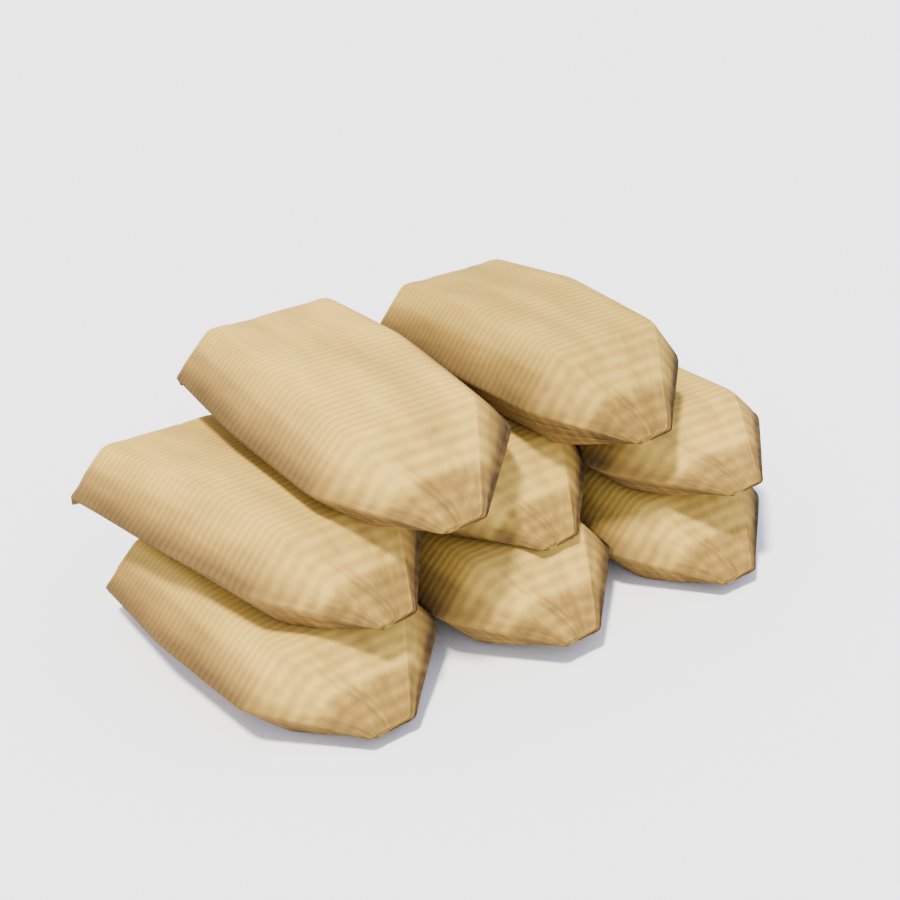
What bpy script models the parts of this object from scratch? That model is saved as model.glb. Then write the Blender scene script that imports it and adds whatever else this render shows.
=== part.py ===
# A stack of eight filled sacks: three on the floor, three on those, two on top.
# The sacks lie side by side along X. Their narrow ends point to -Y.
import bpy
from math import radians
from mathutils import Euler, Matrix, Vector

for old in list(bpy.data.objects):
    bpy.data.objects.remove(old, do_unlink=True)

# Size of one sack, metres. The fill has settled a little towards its left side.
narrow_end_y = -0.368
shoulder_y = 0.233
wide_end_y = 0.247
wide_end_bulge = 0.016
middle_left_half_width = 0.214
middle_right_half_width = 0.207
middle_left_widest_z = 0.083
middle_right_widest_z = 0.076
middle_top_left_half_width = 0.132
middle_top_right_half_width = 0.116
middle_height = 0.171
shoulder_half_width = 0.195
shoulder_top_left_half_width = 0.123
shoulder_top_right_half_width = 0.115
front_shoulder_widest_z = 0.080
front_shoulder_height = 0.162
rear_shoulder_widest_z = 0.063
rear_shoulder_height = 0.141
bottom_half_width = 0.110
narrow_end_half_width = 0.046
narrow_end_flat_half_width = 0.034
narrow_end_z = 0.034
wide_end_half_width = 0.180
wide_end_flat_half_width = 0.110
wide_end_z = 0.034
seam_half_thickness = 0.005

# How firmly the edges of the sack keep their shape when it is rounded, 0 to 1
body_edge_firmness = 0.48
middle_edge_firmness = 0.35
seam_edge_firmness = 0.8
corner_firmness = 0.6
rounding_steps = 2
same_place = 0.001

# Resting
gap = 0.0003
floor_press = 0.010
floor_half_width = 1.0
floor_thickness = 0.1
stack_middle = (0.0045, -0.0487, 0.0)

# Name, place of the sack's middle, turn (pitch, roll, yaw in degrees), size (x, y, z), sag of the underside
sacks = [
    ("sack_bottom_left", (-0.382, -0.024, 0.0), (1.0, 0.0, -0.5), (1.00, 0.96, 0.98), floor_press),
    ("sack_bottom_centre", (-0.009, -0.036, 0.0), (-1.5, 1.5, -0.3), (1.00, 0.99, 0.98), floor_press),
    ("sack_bottom_right", (0.369, -0.054, 0.0), (1.0, 0.0, -2.7), (0.98, 1.00, 1.00), floor_press),
    ("sack_middle_left", (-0.380, 0.049, 0.140), (0.5, 5.6, 7.2), (0.97, 1.01, 1.02), 0.0),
    ("sack_middle_centre", (0.026, 0.060, 0.138), (1.9, -0.1, 1.0), (0.96, 0.96, 1.01), 0.0),
    ("sack_middle_right", (0.376, 0.011, 0.141), (-1.6, 3.1, 1.4), (1.09, 1.09, 0.84), 0.0),
    ("sack_top_left", (-0.176, 0.047, 0.290), (2.8, -1.8, -5.3), (1.00, 1.04, 1.01), 0.030),
    ("sack_top_right", (0.216, 0.019, 0.286), (0.4, -0.3, -2.2), (0.94, 0.95, 1.10), 0.030),
]
cloth_colour = (0.62, 0.48, 0.30, 1.0)
cloth_roughness = 0.95


def ring(y, flat_y, left, top_left, top_right, right, bottom_half, bottom_z):
    """Seven points round the sack, from its left edge over the top and back underneath."""
    (left_half, left_z), (top_left_half, top_z), (right_half, right_z) = left, top_left, right
    return [(-left_half, y, left_z), (-top_left_half, flat_y, top_z), (top_right, flat_y, top_z),
            (right_half, y, right_z), (bottom_half, flat_y, bottom_z),
            (0.0, flat_y, bottom_z), (-bottom_half, flat_y, bottom_z)]


def seam_ring(y, flat_y, half_width, flat_half_width, z):
    """A closed end of the sack, pressed thin along its seam."""
    edge = (half_width, z)
    return ring(y, flat_y, edge, (flat_half_width, z + seam_half_thickness), flat_half_width, edge,
                flat_half_width, z - seam_half_thickness)


def shoulder_ring(y, widest_z, height, bottom_z):
    edge = (shoulder_half_width, widest_z)
    return ring(y, y, edge, (shoulder_top_left_half_width, height), shoulder_top_right_half_width, edge,
                bottom_half_width, bottom_z)


def cage(sag):
    """The sack's plain outer form: five rings joined by four-sided faces."""
    rings = [
        seam_ring(narrow_end_y, narrow_end_y, narrow_end_half_width, narrow_end_flat_half_width, narrow_end_z),
        shoulder_ring(-shoulder_y, front_shoulder_widest_z, front_shoulder_height, 0.0),
        ring(0.0, 0.0, (middle_left_half_width, middle_left_widest_z),
             (middle_top_left_half_width, middle_height), middle_top_right_half_width,
             (middle_right_half_width, middle_right_widest_z), bottom_half_width, -sag),
        shoulder_ring(shoulder_y, rear_shoulder_widest_z, rear_shoulder_height, -sag),
        seam_ring(wide_end_y, wide_end_y + wide_end_bulge, wide_end_half_width, wide_end_flat_half_width,
                  wide_end_z),
    ]
    count = len(rings[0])
    points = [p for one in rings for p in one]
    faces = [list(range(count))[::-1], [len(points) - count + k for k in range(count)]]
    for step in range(len(rings) - 1):
        for k in range(count):
            a, b = step * count + k, step * count + (k + 1) % count
            faces.append([a, b, b + count, a + count])
    return points, faces


def hold_edges(mesh):
    """Hold the long edges, the shoulders and the corners a little, and the closed ends more."""
    corner = mesh.attributes.new("crease_vert", "FLOAT", "POINT")
    for vertex in mesh.vertices:
        corner.data[vertex.index].value = corner_firmness
    crease = mesh.attributes.new("crease_edge", "FLOAT", "EDGE")
    for edge in mesh.edges:
        ends = [mesh.vertices[v].co for v in edge.vertices]
        at_seam = all(p.y < narrow_end_y + same_place or p.y > wide_end_y - same_place for p in ends)
        along_middle = all(abs(p.y) < same_place for p in ends)
        underneath = all(abs(p.x) < same_place for p in ends)
        if at_seam:
            crease.data[edge.index].value = seam_edge_firmness
        elif along_middle:
            crease.data[edge.index].value = middle_edge_firmness
        elif not underneath:
            crease.data[edge.index].value = body_edge_firmness


def make_material(name, colour):
    material = bpy.data.materials.new(name)
    material.use_nodes = True
    shader = material.node_tree.nodes["Principled BSDF"]
    shader.inputs["Base Color"].default_value = colour
    shader.inputs["Roughness"].default_value = cloth_roughness
    return material


def make_sack(name, place, turn, size, sag):
    points, faces = cage(sag)
    mesh = bpy.data.meshes.new(name)
    mesh.from_pydata(points, [], faces)
    hold_edges(mesh)
    angles = Euler([radians(a) for a in turn], "YXZ")
    mesh.transform(Matrix.LocRotScale(Vector(place) - Vector(stack_middle), angles, Vector(size)))
    for face in mesh.polygons:
        face.use_smooth = True
    sack = bpy.data.objects.new(name, mesh)
    bpy.context.scene.collection.objects.link(sack)
    rounding = sack.modifiers.new("rounding", "SUBSURF")
    rounding.levels = rounding.render_levels = rounding_steps
    facets = sack.modifiers.new("facets", "TRIANGULATE")
    facets.quad_method = "FIXED"
    return sack


def hide_cutter(cutter):
    cutter.hide_render = True
    cutter.display_type = "WIRE"


def press_against(sack, cutter):
    cut = sack.modifiers.new("pressed by " + cutter.name, "BOOLEAN")
    cut.operation = "DIFFERENCE"
    cut.solver = "EXACT"
    cut.object = cutter


def overlap(one, other):
    """Whether the boxes round two sacks meet."""
    def box(item):
        return [(min(v.co[k] for v in item.data.vertices), max(v.co[k] for v in item.data.vertices))
                for k in range(3)]
    return all(a[0] < b[1] and b[0] < a[1] for a, b in zip(box(one), box(other)))


floor = bpy.data.objects.new("floor_cutter", bpy.data.meshes.new("floor_cutter"))
sides = (-floor_half_width, floor_half_width)
floor.data.from_pydata([(x, y, z) for x in sides for y in sides for z in (-floor_thickness, 0.0)], [],
                       [(0, 1, 3, 2), (4, 6, 7, 5), (0, 4, 5, 1), (2, 3, 7, 6), (0, 2, 6, 4), (1, 5, 7, 3)])
bpy.context.scene.collection.objects.link(floor)
hide_cutter(floor)

# Each sack takes the shape of whatever it was laid on or beside
laid = []
for name, place, turn, size, sag in sacks:
    sack = make_sack(name, place, turn, size, sag)
    sack.data.materials.append(make_material(name + "_cloth", cloth_colour))
    if "bottom" in name:
        press_against(sack, floor)
    for earlier in laid:
        if overlap(sack, earlier):
            press_against(sack, earlier)
    print_of_sack = make_sack(name + "_cutter", place, turn, size, sag)
    swell = print_of_sack.modifiers.new("gap", "DISPLACE")
    swell.mid_level = 0.0
    swell.strength = gap
    hide_cutter(print_of_sack)
    laid.append(print_of_sack)
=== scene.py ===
# Dresses a stack of eight filled sacks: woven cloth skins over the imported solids
import bpy
import numpy as np
from math import pi, radians
from mathutils import Euler, Matrix, Vector
from mathutils.bvhtree import BVHTree


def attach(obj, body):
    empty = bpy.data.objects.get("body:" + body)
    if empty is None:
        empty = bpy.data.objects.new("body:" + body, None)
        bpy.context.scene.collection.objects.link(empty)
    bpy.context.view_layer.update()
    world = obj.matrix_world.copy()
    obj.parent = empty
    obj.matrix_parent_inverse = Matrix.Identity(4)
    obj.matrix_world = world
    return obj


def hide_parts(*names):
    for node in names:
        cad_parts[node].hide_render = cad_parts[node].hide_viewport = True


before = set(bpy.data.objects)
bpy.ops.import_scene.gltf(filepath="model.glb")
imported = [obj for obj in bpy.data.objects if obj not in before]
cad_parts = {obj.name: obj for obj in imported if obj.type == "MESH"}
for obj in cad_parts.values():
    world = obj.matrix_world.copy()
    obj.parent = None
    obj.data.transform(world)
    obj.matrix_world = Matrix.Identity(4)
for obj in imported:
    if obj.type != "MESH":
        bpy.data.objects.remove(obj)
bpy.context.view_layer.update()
print("frame loaded:", len(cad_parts), "sacks")

# Camera, at the photo's place
view = {
    "place": (-1.4728, -1.8073, 1.4944),
    "right": (0.780398, -0.625280, 0.001756),
    "up": (0.296312, 0.372291, 0.879545),
    "lens": 60.192,
    "shift": (0.00357, 0.00692),
}


def addCamera():
    data = bpy.data.cameras.new("camera")
    data.lens = view["lens"]
    data.sensor_width = 36.0
    data.shift_x, data.shift_y = view["shift"]
    camera = bpy.data.objects.new("camera", data)
    bpy.context.scene.collection.objects.link(camera)
    right, up = Vector(view["right"]), Vector(view["up"])
    turn = Matrix((right, up, right.cross(up))).transposed()
    camera.matrix_world = Matrix.Translation(view["place"]) @ turn.to_4x4()
    bpy.context.scene.camera = camera


addCamera()
print("camera placed")

# Sack, in metres: one plain form, seven points round and five rings from the narrow end to the wide end
sackForm = {
    "narrowEndY": -0.368, "shoulderY": 0.233, "wideEndY": 0.247, "wideEndBulge": 0.016,
    "middleLeft": (0.214, 0.083), "middleTopLeft": (0.132, 0.171),
    "middleTopRight": 0.116, "middleRight": (0.207, 0.076),
    "shoulderHalfWidth": 0.195, "shoulderTopLeft": 0.123, "shoulderTopRight": 0.115,
    "frontShoulderZ": (0.080, 0.162), "rearShoulderZ": (0.063, 0.141),
    "bottomHalfWidth": 0.110,
    "narrowEnd": (0.046, 0.034, 0.034), "wideEnd": (0.180, 0.110, 0.034),
    "seamHalfThickness": 0.005,
    "girth": (0.0, 0.110, 0.243, 0.363, 0.611, 0.743, 0.866, 0.976),
    "widestPoints": (0, 3), "samePlace": 0.001, "firmerBeyondY": 0.1,
    "bodyFirmness": 0.52, "middleFirmness": 0.40, "endFirmness": 0.85, "cornerFirmness": 0.7,
    "widestFirmness": 0.95, "widestEdgeFirmness": 0.68,
    "rounding": 4,
}
# What each sack was laid with: place, turn (pitch, roll, yaw), size and sag, as in the CAD
stackMiddle = Vector((0.0045, -0.0487, 0.0))
sacks = {
    "sack_bottom_left": ((-0.382, -0.024, 0.0), (1.0, 0.0, -0.5), (1.00, 0.96, 0.98), 0.010),
    "sack_bottom_centre": ((-0.009, -0.036, 0.0), (-1.5, 1.5, -0.3), (1.00, 0.99, 0.98), 0.010),
    "sack_bottom_right": ((0.369, -0.054, 0.0), (1.0, 0.0, -2.7), (0.98, 1.00, 1.00), 0.010),
    "sack_middle_left": ((-0.380, 0.049, 0.140), (0.5, 5.6, 7.2), (0.97, 1.01, 1.02), 0.0),
    "sack_middle_centre": ((0.026, 0.060, 0.138), (1.9, -0.1, 1.0), (0.96, 0.96, 1.01), 0.0),
    "sack_middle_right": ((0.376, 0.011, 0.141), (-1.6, 3.1, 1.4), (1.09, 1.09, 0.84), 0.0),
    "sack_top_left": ((-0.176, 0.047, 0.290), (2.8, -1.8, -5.3), (1.00, 1.04, 1.01), 0.030),
    "sack_top_right": ((0.216, 0.019, 0.286), (0.4, -0.3, -2.2), (0.94, 0.95, 1.10), 0.030),
}


def ringPoints(y, flatY, left, topLeft, topRight, right, bottomHalf, bottomZ):
    # Left edge, over the top, right edge, and back underneath
    return [(-left[0], y, left[1]), (-topLeft[0], flatY, topLeft[1]), (topRight, flatY, topLeft[1]),
            (right[0], y, right[1]), (bottomHalf, flatY, bottomZ), (0.0, flatY, bottomZ),
            (-bottomHalf, flatY, bottomZ)]


def endRing(y, flatY, end):
    half, flatHalf, z = end
    thick = sackForm["seamHalfThickness"]
    return ringPoints(y, flatY, (half, z), (flatHalf, z + thick), flatHalf, (half, z), flatHalf, z - thick)


def shoulderRing(y, heights, bottomZ):
    form = sackForm
    edge = (form["shoulderHalfWidth"], heights[0])
    return ringPoints(y, y, edge, (form["shoulderTopLeft"], heights[1]), form["shoulderTopRight"], edge,
                      form["bottomHalfWidth"], bottomZ)


def sackRings(sag):
    form = sackForm
    return [
        endRing(form["narrowEndY"], form["narrowEndY"], form["narrowEnd"]),
        shoulderRing(-form["shoulderY"], form["frontShoulderZ"], 0.0),
        ringPoints(0.0, 0.0, form["middleLeft"], form["middleTopLeft"], form["middleTopRight"],
                   form["middleRight"], form["bottomHalfWidth"], -sag),
        shoulderRing(form["shoulderY"], form["rearShoulderZ"], -sag),
        endRing(form["wideEndY"], form["wideEndY"] + form["wideEndBulge"], form["wideEnd"]),
    ]


def placeOf(name):
    place, turn, size, sag = sacks[name]
    return Matrix.LocRotScale(Vector(place) - stackMiddle, Euler([radians(a) for a in turn], "YXZ"),
                              Vector(size))


def holdEdges(mesh, points, count):
    # How firmly the corners and the edges keep their shape when the skin is rounded, 0 to 1
    form, near = sackForm, sackForm["samePlace"]
    corner = mesh.attributes.new("crease_vert", "FLOAT", "POINT")
    for vertex in mesh.vertices:
        widest = vertex.index % count in form["widestPoints"] and abs(vertex.co.y) > form["firmerBeyondY"]
        corner.data[vertex.index].value = form["widestFirmness" if widest else "cornerFirmness"]
    crease = mesh.attributes.new("crease_edge", "FLOAT", "EDGE")
    for edge in mesh.edges:
        ends = [points[v] for v in edge.vertices]
        if all(p[1] < form["narrowEndY"] + near or p[1] > form["wideEndY"] - near for p in ends):
            crease.data[edge.index].value = form["endFirmness"]
        elif all(abs(p[1]) < near for p in ends):
            crease.data[edge.index].value = form["middleFirmness"]
        elif all(v % count in form["widestPoints"] for v in edge.vertices):
            crease.data[edge.index].value = form["widestEdgeFirmness"]
        elif not all(abs(p[0]) < near for p in ends):
            crease.data[edge.index].value = form["bodyFirmness"]


def makeSkin(name):
    # The rounded skin of one sack. Its UV map keeps how far round the cloth and along it each point is
    rings = sackRings(sacks[name][3])
    count = len(rings[0])
    points = [p for ring in rings for p in ring]
    last = len(points) - count
    faces = [list(range(count))[::-1], [last + k for k in range(count)]]
    girth = sackForm["girth"]
    around = [girth[k] for k in (2, 3, 4, 5, 6, 7, 1)]
    turns = [around[::-1], around]
    for step in range(len(rings) - 1):
        for k in range(count):
            a, b = step * count + k, step * count + (k + 1) % count
            faces.append([a, b, b + count, a + count])
            start = girth[0] if k == count - 2 else around[k]
            stop = around[(k + 1) % count]
            turns.append([start, stop, stop, start])
    mesh = bpy.data.meshes.new(name + "_skin")
    mesh.from_pydata(points, [], faces)
    places = mesh.uv_layers.new(name="clothPlace")
    for face, turn in zip(mesh.polygons, turns):
        for loop, value in zip(face.loop_indices, turn):
            places.data[loop].uv = (value, points[mesh.loops[loop].vertex_index][1])
    holdEdges(mesh, points, count)
    mesh.transform(placeOf(name))
    skin = bpy.data.objects.new(name + "_skin", mesh)
    bpy.context.scene.collection.objects.link(skin)
    rounding = skin.modifiers.new("rounding", "SUBSURF")
    rounding.levels = rounding.render_levels = sackForm["rounding"]
    applyModifiers(skin)
    return skin


def selectOnly(piece):
    bpy.ops.object.select_all(action="DESELECT")
    piece.select_set(True)
    bpy.context.view_layer.objects.active = piece


def applyModifiers(piece):
    selectOnly(piece)
    for modifier in list(piece.modifiers):
        bpy.ops.object.modifier_apply(modifier=modifier.name)


def readPoints(piece):
    points = np.empty(len(piece.data.vertices) * 3)
    piece.data.vertices.foreach_get("co", points)
    return points.reshape(-1, 3)


def writePoints(piece, points):
    piece.data.vertices.foreach_set("co", points.ravel())
    piece.data.update()


# Resting, in metres: how far skins stay apart, how deep a sack may come through a face, and in how many
# rounds such faces are moved back
rest = {"clearance": 0.0012, "step": 0.00001, "reach": 0.003, "apart": 0.0006, "rounds": 4}


def surfaceOf(skin, points):
    return BVHTree.FromPolygons([Vector(p) for p in points],
                                [tuple(f.vertices) for f in skin.data.polygons])


def lookUp(tree, point):
    # Whether a point is inside a closed shape, and the last place where a line straight up leaves it
    crossings, top, start = 0, None, point
    while True:
        spot = tree.ray_cast(start, Vector((0, 0, 1)))[0]
        if spot is None:
            return crossings % 2 == 1, top
        crossings, top = crossings + 1, spot
        start = spot + Vector((0, 0, rest["step"]))


def wayOut(name, earlier):
    # Sacks of one layer part sideways, and a sack of a higher layer is lifted
    if name.split("_")[1] != earlier.split("_")[1]:
        return Vector((0, 0, 1))
    return Vector((1 if sacks[name][0][0] > sacks[earlier][0][0] else -1, 0, 0))


def pressInPlace(name, skin, laid):
    # Push the skin out of the sacks that were laid before it, and off the floor
    points = readPoints(skin)
    for earlier, tree, low, high, others in laid:
        out = wayOut(name, earlier)
        for number in np.where(((points > low) & (points < high)).all(axis=1))[0]:
            point = Vector(points[number])
            inside, top = lookUp(tree, point)
            if inside:
                spot = top if out.z else tree.ray_cast(point, out)[0]
                points[number] = spot + out * rest["clearance"]
                continue
            spot = tree.find_nearest(point, rest["clearance"])[0]
            if spot is not None:
                points[number] = spot + (point - spot).normalized() * rest["clearance"]
    points[:, 2] = np.maximum(points[:, 2], 0.0)
    writePoints(skin, points)


def drawBack(skin, laid):
    # Where an earlier sack still comes through a face, move that face back behind it
    for number in range(rest["rounds"]):
        points = readPoints(skin)
        tree = surfaceOf(skin, points)
        low, high = points.min(0) - rest["apart"], points.max(0) + rest["apart"]
        moves, deepest, count = {}, 0.0, 0
        for others in [sack[-1] for sack in laid]:
            for other in others[((others > low) & (others < high)).all(axis=1)]:
                point = Vector(other)
                spot, normal, face, far = tree.find_nearest(point, rest["reach"])
                if spot is None:
                    continue
                inside = lookUp(tree, point)[0]
                if not inside and far > rest["apart"]:
                    continue
                count += 1
                deepest = max(deepest, far if inside else 0.0)
                length = far + rest["apart"] if inside else rest["apart"] - far
                back = (point - spot if inside else spot - point).normalized() * length
                for corner in skin.data.polygons[face].vertices:
                    if length > moves.get(corner, (0.0, None))[0]:
                        moves[corner] = (length, back)
        if not moves:
            return
        print("   drawn back:", count, "places, deepest %.2f mm" % (deepest * 1000))
        for corner, (length, back) in moves.items():
            points[corner] += back
        points[:, 2] = np.maximum(points[:, 2], 0.0)
        writePoints(skin, points)


def layDown(name, skin):
    # What later sacks are pressed against: this one's name, surface, the box round it and its points
    points = readPoints(skin)
    return (name, surfaceOf(skin, points), points.min(0) - rest["clearance"],
            points.max(0) + rest["clearance"], points)


# How the fill swells the cloth: it starts this far in, and moves out by no more than most, in metres
fill = {
    "start": 0.0015, "pressure": 4.0, "frames": 20, "most": 0.0045, "gather": -0.03,
    "quality": 6, "mass": 0.4, "stretch": 30, "shear": 20, "bend": 2.0,
}


def swell(skin):
    normals = np.array([v.normal for v in skin.data.vertices])
    writePoints(skin, readPoints(skin) - normals * fill["start"])
    begin = readPoints(skin)
    puffed = skin.modifiers.new("cloth", "CLOTH")
    settings = puffed.settings
    settings.quality = fill["quality"]
    settings.mass = fill["mass"]
    settings.tension_stiffness = settings.compression_stiffness = fill["stretch"]
    settings.shear_stiffness = fill["shear"]
    settings.bending_stiffness = fill["bend"]
    settings.use_pressure = True
    settings.uniform_pressure_force = fill["pressure"]
    settings.effector_weights.gravity = 0.0
    settings.shrink_min = fill["gather"]
    puffed.collision_settings.use_collision = False
    puffed.point_cache.frame_end = fill["frames"]
    for number in range(1, fill["frames"] + 1):
        bpy.context.scene.frame_set(number)
    applyModifiers(skin)
    bpy.context.scene.frame_set(1)
    # Nothing moves inwards, so the ridges stay where the photo has them
    moved = readPoints(skin) - begin
    outwards = (moved * normals).sum(axis=1)
    moved -= normals * np.minimum(outwards, 0.0)[:, None]
    far = np.linalg.norm(moved, axis=1)
    print("   swell: median %.1f mm, most %.1f mm" % (np.median(far) * 1000, far.max() * 1000))
    keep = fill["most"] / (fill["most"] + far)
    writePoints(skin, begin + moved * keep[:, None])


# Shallow pleats where the cloth is drawn in at the narrow end, in metres
pleats = {"count": 11, "depth": 0.0016, "from": -0.255, "to": -0.352, "drift": 1.5, "drifts": 3}
# Over how much length the cloth turns down the wide end, and how fast its ribs go on there
wideEnd = {"turn": 0.012, "ribs": 0.9}


def readLocal(name, points):
    # The points as they were before the sack was placed, turned and sized
    turnBack = np.array(placeOf(name).inverted())
    return points @ turnBack[:3, :3].T + turnBack[:3, 3]


def pleat(name, skin):
    mesh, points = skin.data, readPoints(skin)
    lengthwise = readLocal(name, points)[:, 1]
    around = np.zeros(len(points))
    for loop, place in zip(mesh.loops, mesh.uv_layers["clothPlace"].uv):
        around[loop.vertex_index] = place.vector[0]
    near = np.clip((pleats["from"] - lengthwise) / (pleats["from"] - pleats["to"]), 0, 1)
    turn = around / sackForm["girth"][-1] * 2 * pi
    wave = np.cos(pleats["count"] * turn + pleats["drift"] * np.sin(pleats["drifts"] * turn))
    normals = np.array([v.normal for v in mesh.vertices])
    writePoints(skin, points + normals * ((wave - 1) / 2 * pleats["depth"] * near ** 2)[:, None])


def finishSkin(name, skin, laid):
    pleat(name, skin)
    smooth = skin.modifiers.new("smooth", "SUBSURF")
    smooth.levels = smooth.render_levels = 1
    applyModifiers(skin)
    pressInPlace(name, skin, laid)
    drawBack(skin, laid)
    # The lengthwise part of the UV map, from where each point ended up, carried on down the wide end
    local = readLocal(name, readPoints(skin))
    overEnd = np.clip((local[:, 1] - sackForm["shoulderY"]) / wideEnd["turn"], 0, 1)
    lengthwise = local[:, 1] + overEnd * (sackForm["rearShoulderZ"][1] - local[:, 2]) * wideEnd["ribs"]
    mesh = skin.data
    corners = np.empty(len(mesh.loops), int)
    mesh.loops.foreach_get("vertex_index", corners)
    flat = np.empty(len(mesh.loops) * 2)
    layer = mesh.uv_layers["clothPlace"]
    layer.uv.foreach_get("vector", flat)
    flat = flat.reshape(-1, 2)
    flat[:, 1] = lengthwise[corners]
    layer.uv.foreach_set("vector", flat.ravel())
    selectOnly(skin)
    bpy.ops.object.shade_smooth()


skins, laid = [], []
for name in sacks:
    skin = makeSkin(name)
    pressInPlace(name, skin, laid)
    swell(skin)
    pressInPlace(name, skin, laid)
    finishSkin(name, skin, laid)
    skins.append(skin)
    laid.append(layDown(name, skin))
    print("sack made:", name, len(skin.data.polygons), "faces")

# Cloth: its colours, sizes in metres, how much each effect browns it, and its surface
cloth = {
    "paleTan": (0.600, 0.385, 0.078, 1.0), "lightTan": (0.495, 0.312, 0.061, 1.0),
    "tan": (0.262, 0.154, 0.034, 1.0), "brown": (0.108, 0.063, 0.021, 1.0),
    "darkBrown": (0.034, 0.021, 0.010, 1.0),
    "girthLength": 0.976, "ribWidth": 0.0139, "ribDepth": 0.0007, "noseRibs": 0.163,
    "threadWidth": 0.0023, "threadDepth": 0.00048, "sway": 0.003, "swayDepth": 0.002,
    "toneAndShadeStops": (0.0, 0.12, 0.43, 0.77, 1.0),
    "paler": 0.45, "tip": (-0.36, 0.34), "paleLine": -0.05, "ribTone": (-0.07, 0.13),
    "streaks": 0.90, "blotches": 0.32, "patches": 0.42, "grain": 0.16, "weave": 0.16,
    "roughness": 0.82, "roughnessGrain": 0.12, "specular": 0.04,
    "sheen": 0.03, "sheenRoughness": 0.6, "sheenTint": (0.85, 0.62, 0.35, 1.0), "shift": 3.7,
}
# Where each effect comes and goes, along the sack or round it, in metres
zones = {
    "rear": (-0.20, 0.20, -0.03, 0.05), "nose": (-0.215, -0.262),
    "leftStart": (0.226, 0.250), "leftStop": (0.363, 0.335),
    "tip": (-0.304, -0.318), "paleLine": (-0.294, 0.008, 0.014), "foldFan": (-0.240, -0.368),
    "foldSoft": 3.5, "foldRun": 0.030, "underStop": (0.243, 0.232), "underStart": (0.740, 0.752),
}
# Painted shade round the sack, from 0 to 1: darker down the sides, under the sack and towards the right
# widest edge
shadeRound = [
    (0.0, 0.66), (0.110, 0.66), (0.160, 0.72), (0.205, 0.70), (0.228, 0.56), (0.243, 0.74), (0.258, 0.72),
    (0.285, 0.46), (0.306, 0.38), (0.322, 0.20), (0.350, 0.13), (0.388, 0.09), (0.433, 0.16), (0.459, 0.10),
    (0.518, 0.18), (0.561, 0.11), (0.605, 0.12), (0.620, 0.26), (0.655, 0.34), (0.680, 0.47), (0.700, 0.69),
    (0.722, 0.97), (0.752, 0.90), (0.866, 0.70), (0.976, 0.66),
]

# Folds near the tip, with painted shade along each fold: girth at the start, how far round it bends,
# darkness, half width, where it starts; a negative darkness paints a highlight
folds = [(0.390, 0.060, 0.10, 0.0036, -0.245), (0.409, 0.075, 0.09, 0.0036, -0.262),
         (0.262, 0.050, 0.09, 0.0040, -0.285), (0.621, 0.000, 0.14, 0.0012, -0.295),
         (0.632, 0.004, 0.14, 0.0012, -0.295), (0.609, 0.000, -0.12, 0.0014, -0.225)]


class NodeBench:
    # Adds nodes to one tree and joins them up
    def __init__(self, tree):
        self.tree = tree

    def put(self, socket, value):
        if isinstance(value, bpy.types.NodeSocket):
            self.tree.links.new(value, socket)
        else:
            socket.default_value = value

    def math(self, operation, first, second=0.0, third=0.0, clamp=False):
        node = self.tree.nodes.new("ShaderNodeMath")
        node.operation, node.use_clamp = operation, clamp
        for socket, value in zip(node.inputs, (first, second, third)):
            self.put(socket, value)
        return node.outputs[0]

    def fade(self, value, low, high, lowTo=0.0, highTo=1.0):
        # Goes smoothly from lowTo to highTo as the value goes from low to high
        node = self.tree.nodes.new("ShaderNodeMapRange")
        node.interpolation_type = "SMOOTHSTEP"
        for socket, number in zip(node.inputs, (value, low, high, lowTo, highTo)):
            self.put(socket, number)
        return node.outputs[0]

    def band(self, value, middle, halfWidth, soft):
        # One inside a strip round the middle value, and nothing outside it
        away = self.math("ABSOLUTE", self.math("SUBTRACT", value, middle))
        return self.fade(away, halfWidth, halfWidth + soft, 1.0, 0.0)

    def vector(self, x, y, z=0.0):
        node = self.tree.nodes.new("ShaderNodeCombineXYZ")
        for socket, value in zip(node.inputs, (x, y, z)):
            self.put(socket, value)
        return node.outputs[0]

    def noise(self, place, scale, detail=2.0, roughness=0.5):
        node = self.tree.nodes.new("ShaderNodeTexNoise")
        self.put(node.inputs["Vector"], place)
        node.inputs["Scale"].default_value = scale
        node.inputs["Detail"].default_value = detail
        node.inputs["Roughness"].default_value = roughness
        return node.outputs["Fac"]

    def ramp(self, value, stops):
        node = self.tree.nodes.new("ShaderNodeValToRGB")
        ramp = node.color_ramp
        ramp.interpolation = "LINEAR"
        while len(ramp.elements) < len(stops):
            ramp.elements.new(0.5)
        for element, (place, shade) in zip(ramp.elements, stops):
            element.position = place
            element.color = shade if isinstance(shade, tuple) else (shade, shade, shade, 1.0)
        self.put(node.inputs[0], value)
        return node.outputs[0]

    def wave(self, value, width):
        # Rises and falls from 0 to 1 once in each width
        turn = self.math("MULTIPLY", value, 2 * pi / width)
        return self.math("MULTIPLY_ADD", self.math("SINE", turn), 0.5, 0.5)


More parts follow.
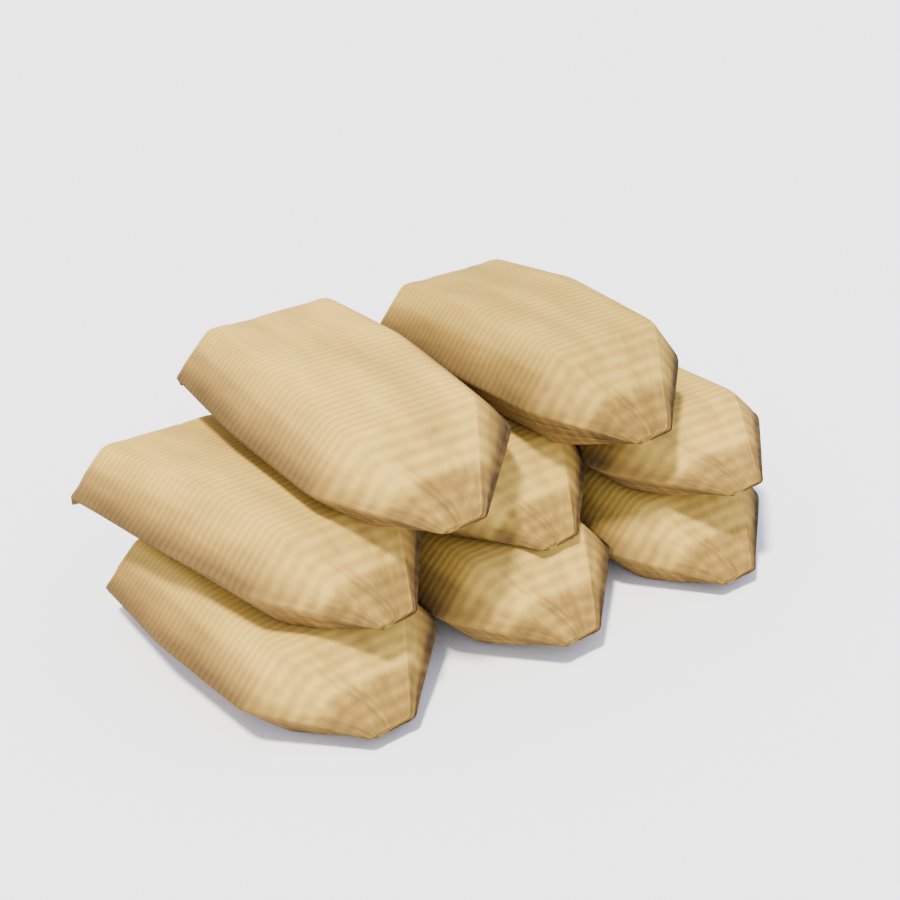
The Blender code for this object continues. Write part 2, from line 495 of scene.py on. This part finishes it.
def makeWovenGroup():
    # Ribbed sackcloth: colour, roughness and height, from the place on the cloth
    group = bpy.data.node_groups.new("ribbedSackcloth", "ShaderNodeTree")
    face = group.interface
    for label, kind, value in (("Tone", "NodeSocketFloat", 1.0), ("Shift", "NodeSocketFloat", 0.0)):
        socket = face.new_socket(label, in_out="INPUT", socket_type=kind)
        socket.default_value = value
    for label, kind in (("Colour", "NodeSocketColor"), ("Roughness", "NodeSocketFloat"),
                        ("Height", "NodeSocketFloat")):
        face.new_socket(label, in_out="OUTPUT", socket_type=kind)
    bench = NodeBench(group)
    given = group.nodes.new("NodeGroupInput")
    place = group.nodes.new("ShaderNodeUVMap")
    place.uv_map = "clothPlace"
    parts = group.nodes.new("ShaderNodeSeparateXYZ")
    group.links.new(place.outputs[0], parts.inputs[0])
    around, along = parts.outputs[0], parts.outputs[1]
    shift = given.outputs["Shift"]

    def unevenness(acrossScale, alongScale, detail, roughness=0.5):
        spot = bench.vector(bench.math("MULTIPLY", around, acrossScale),
                            bench.math("MULTIPLY", along, alongScale), shift)
        return bench.noise(spot, 1.0, detail, roughness)

    # Slow unevenness over the cloth, longer along the sack than across it
    patches = unevenness(11.0, 5.0, 2.0)
    grain = unevenness(60.0, 9.0, 3.0, 0.6)
    sway = unevenness(14.0, 8.0, 1.0)

    # Ribs run round the sack, and are wider apart on the sloping narrow end
    nose = bench.math("MAXIMUM", bench.math("SUBTRACT", -sackForm["shoulderY"], along), 0.0)
    ribPlace = bench.math("MULTIPLY_ADD", nose, cloth["noseRibs"], along)
    ribPlace = bench.math("MULTIPLY_ADD", sway, cloth["sway"], ribPlace)
    ribs = bench.wave(ribPlace, cloth["ribWidth"])

    # Threads of the weave, over and under
    across = bench.wave(around, cloth["threadWidth"])
    lengthwise = bench.wave(ribPlace, cloth["threadWidth"])
    weave = bench.math("MULTIPLY", bench.math("SUBTRACT", across, 0.5),
                       bench.math("SUBTRACT", lengthwise, 0.5))

    # Painted shade: browner down the sides and under the sack
    stops = [(girth / cloth["girthLength"], amount) for girth, amount in shadeRound]
    brown = bench.ramp(bench.math("DIVIDE", around, cloth["girthLength"]), stops)
    rear = bench.fade(along, *zones["rear"])
    brown = bench.math("ADD", brown, bench.math("MULTIPLY", brown, rear))

    # The left face of the narrow end gets less of the painted side shade, so it is paler than the left side
    # behind it
    onNose = bench.fade(along, *zones["nose"])
    onLeft = bench.math("MULTIPLY", bench.fade(around, *zones["leftStart"]),
                        bench.fade(around, *zones["leftStop"]))
    paler = bench.math("MULTIPLY", bench.math("MULTIPLY", onNose, onLeft), cloth["paler"])
    brown = bench.math("SUBTRACT", brown, bench.math("MULTIPLY", brown, paler))

    # Darker gathered tip, with a pale line before it
    tip = bench.fade(along, *zones["tip"])
    pale = bench.band(along, *zones["paleLine"])
    tip = bench.math("MULTIPLY", tip, bench.math("MULTIPLY_ADD", brown, *cloth["tip"]))
    brown = bench.math("ADD", brown, tip)
    brown = bench.math("MULTIPLY_ADD", pale, cloth["paleLine"], brown)

    # Painted shade along folds that run to the tip, and a painted highlight as a pale line on the right
    # ridge
    down = bench.fade(along, *zones["foldFan"])
    down = bench.math("MULTIPLY", down, down)
    for start, bend, strength, width, begin in folds:
        line = bench.math("MULTIPLY_ADD", down, bend, start)
        away = bench.math("ABSOLUTE", bench.math("SUBTRACT", around, line))
        fold = bench.math("MULTIPLY", bench.fade(away, width, width * zones["foldSoft"], 1.0, 0.0),
                          bench.fade(along, begin, begin - zones["foldRun"]))
        brown = bench.math("MULTIPLY_ADD", fold, strength, brown)

    # Streaks along the underside, and blotches between the wide ribs of the narrow end
    under = bench.math("ADD", bench.fade(around, *zones["underStop"]),
                       bench.fade(around, *zones["underStart"]))
    streaks = bench.math("MULTIPLY", bench.math("SUBTRACT", unevenness(210.0, 4.0, 2.0), 0.5), under)
    brown = bench.math("MULTIPLY_ADD", streaks, cloth["streaks"], brown)
    blotches = bench.math("MULTIPLY", bench.math("SUBTRACT", unevenness(30.0, 62.0, 1.0), 0.5), onNose)
    brown = bench.math("MULTIPLY_ADD", blotches, cloth["blotches"], brown)

    # Ribs, patches and stray threads change the tone a little
    ribTone = bench.math("MULTIPLY_ADD", brown, *cloth["ribTone"])
    brown = bench.math("MULTIPLY_ADD", bench.math("SUBTRACT", 0.5, ribs), ribTone, brown)
    brown = bench.math("MULTIPLY_ADD", bench.math("SUBTRACT", patches, 0.5), cloth["patches"], brown)
    brown = bench.math("MULTIPLY_ADD", bench.math("SUBTRACT", grain, 0.5), cloth["grain"], brown)
    brown = bench.math("MULTIPLY_ADD", weave, cloth["weave"], brown, clamp=True)
    # The colour ramp turns the cloth's own tone and the painted shade into one colour
    colours = [cloth[key] for key in ("paleTan", "lightTan", "tan", "brown", "darkBrown")]
    toneAndShade = bench.ramp(brown, list(zip(cloth["toneAndShadeStops"], colours)))
    toned = group.nodes.new("ShaderNodeVectorMath")
    toned.operation = "SCALE"
    group.links.new(toneAndShade, toned.inputs[0])
    group.links.new(given.outputs["Tone"], toned.inputs["Scale"])

    height = bench.math("MULTIPLY", ribs, cloth["ribDepth"])
    height = bench.math("MULTIPLY_ADD", weave, cloth["threadDepth"], height)
    height = bench.math("MULTIPLY_ADD", sway, cloth["swayDepth"], height)
    rough = bench.math("MULTIPLY_ADD", grain, cloth["roughnessGrain"], cloth["roughness"])

    result = group.nodes.new("NodeGroupOutput")
    group.links.new(toned.outputs[0], result.inputs["Colour"])
    group.links.new(rough, result.inputs["Roughness"])
    group.links.new(height, result.inputs["Height"])
    return group


wovenGroup = makeWovenGroup()
# How far each sack's colour is scaled, 1 for none
tones = {"sack_top_left": 1.0, "sack_top_right": 0.83, "sack_middle_left": 1.0, "sack_middle_centre": 0.97,
         "sack_middle_right": 0.97, "sack_bottom_left": 1.0, "sack_bottom_centre": 0.97,
         "sack_bottom_right": 0.96}


def makeCloth(name, shift):
    material = bpy.data.materials.new(name + "_cloth")
    material.use_nodes = True
    tree = material.node_tree
    shader = tree.nodes["Principled BSDF"]
    woven = tree.nodes.new("ShaderNodeGroup")
    woven.node_tree = wovenGroup
    woven.inputs["Tone"].default_value = tones[name]
    woven.inputs["Shift"].default_value = shift
    bump = tree.nodes.new("ShaderNodeBump")
    bump.inputs["Distance"].default_value = 1.0
    bump.inputs["Strength"].default_value = 1.0
    tree.links.new(woven.outputs["Colour"], shader.inputs["Base Color"])
    tree.links.new(woven.outputs["Roughness"], shader.inputs["Roughness"])
    tree.links.new(woven.outputs["Height"], bump.inputs["Height"])
    tree.links.new(bump.outputs["Normal"], shader.inputs["Normal"])
    shader.inputs["Specular IOR Level"].default_value = cloth["specular"]
    shader.inputs["Sheen Weight"].default_value = cloth["sheen"]
    shader.inputs["Sheen Roughness"].default_value = cloth["sheenRoughness"]
    shader.inputs["Sheen Tint"].default_value = cloth["sheenTint"]
    return material


for number, (name, skin) in enumerate(zip(sacks, skins)):
    skin.data.materials.append(makeCloth(name, number * cloth["shift"]))
    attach(skin, "root")
    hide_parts(name)
print("cloth made")

# Floor and light
room = {
    "floorSize": 60.0, "floorZ": -0.0008, "floorColour": (0.90, 0.90, 0.895, 1.0), "floorRoughness": 0.9,
    "sky": 1.35, "skyColour": (0.91, 0.975, 1.28, 1.0),
}
lamps = {
    "overheadLamp": {"from": (-0.38, -0.12, 1.0), "softness": 8.0, "strength": 8.8,
                     "colour": (1.0, 0.972, 0.88)},
    "leftLamp": {"from": (-1.0, -0.9, 0.8), "softness": 60.0, "strength": 0.7,
                 "colour": (1.0, 0.98, 0.95)},
}


def addRoom():
    bpy.ops.object.select_all(action="DESELECT")
    bpy.ops.mesh.primitive_plane_add(size=room["floorSize"], location=(0.0, 0.0, room["floorZ"]))
    floor = bpy.context.object
    floor.name = "floor"
    paint = bpy.data.materials.new("floorPaint")
    paint.use_nodes = True
    shader = paint.node_tree.nodes["Principled BSDF"]
    shader.inputs["Base Color"].default_value = room["floorColour"]
    shader.inputs["Roughness"].default_value = room["floorRoughness"]
    floor.data.materials.append(paint)
    world = bpy.data.worlds.new("studio")
    bpy.context.scene.world = world
    world.use_nodes = True
    sky = world.node_tree.nodes["Background"]
    sky.inputs["Color"].default_value = room["skyColour"]
    sky.inputs["Strength"].default_value = room["sky"]
    for name, lamp in lamps.items():
        data = bpy.data.lights.new(name, "SUN")
        data.energy, data.angle, data.color = lamp["strength"], radians(lamp["softness"]), lamp["colour"]
        lampObject = bpy.data.objects.new(name, data)
        bpy.context.scene.collection.objects.link(lampObject)
        lampObject.rotation_euler = (-Vector(lamp["from"])).to_track_quat("-Z", "Y").to_euler()


addRoom()
print("room lit")
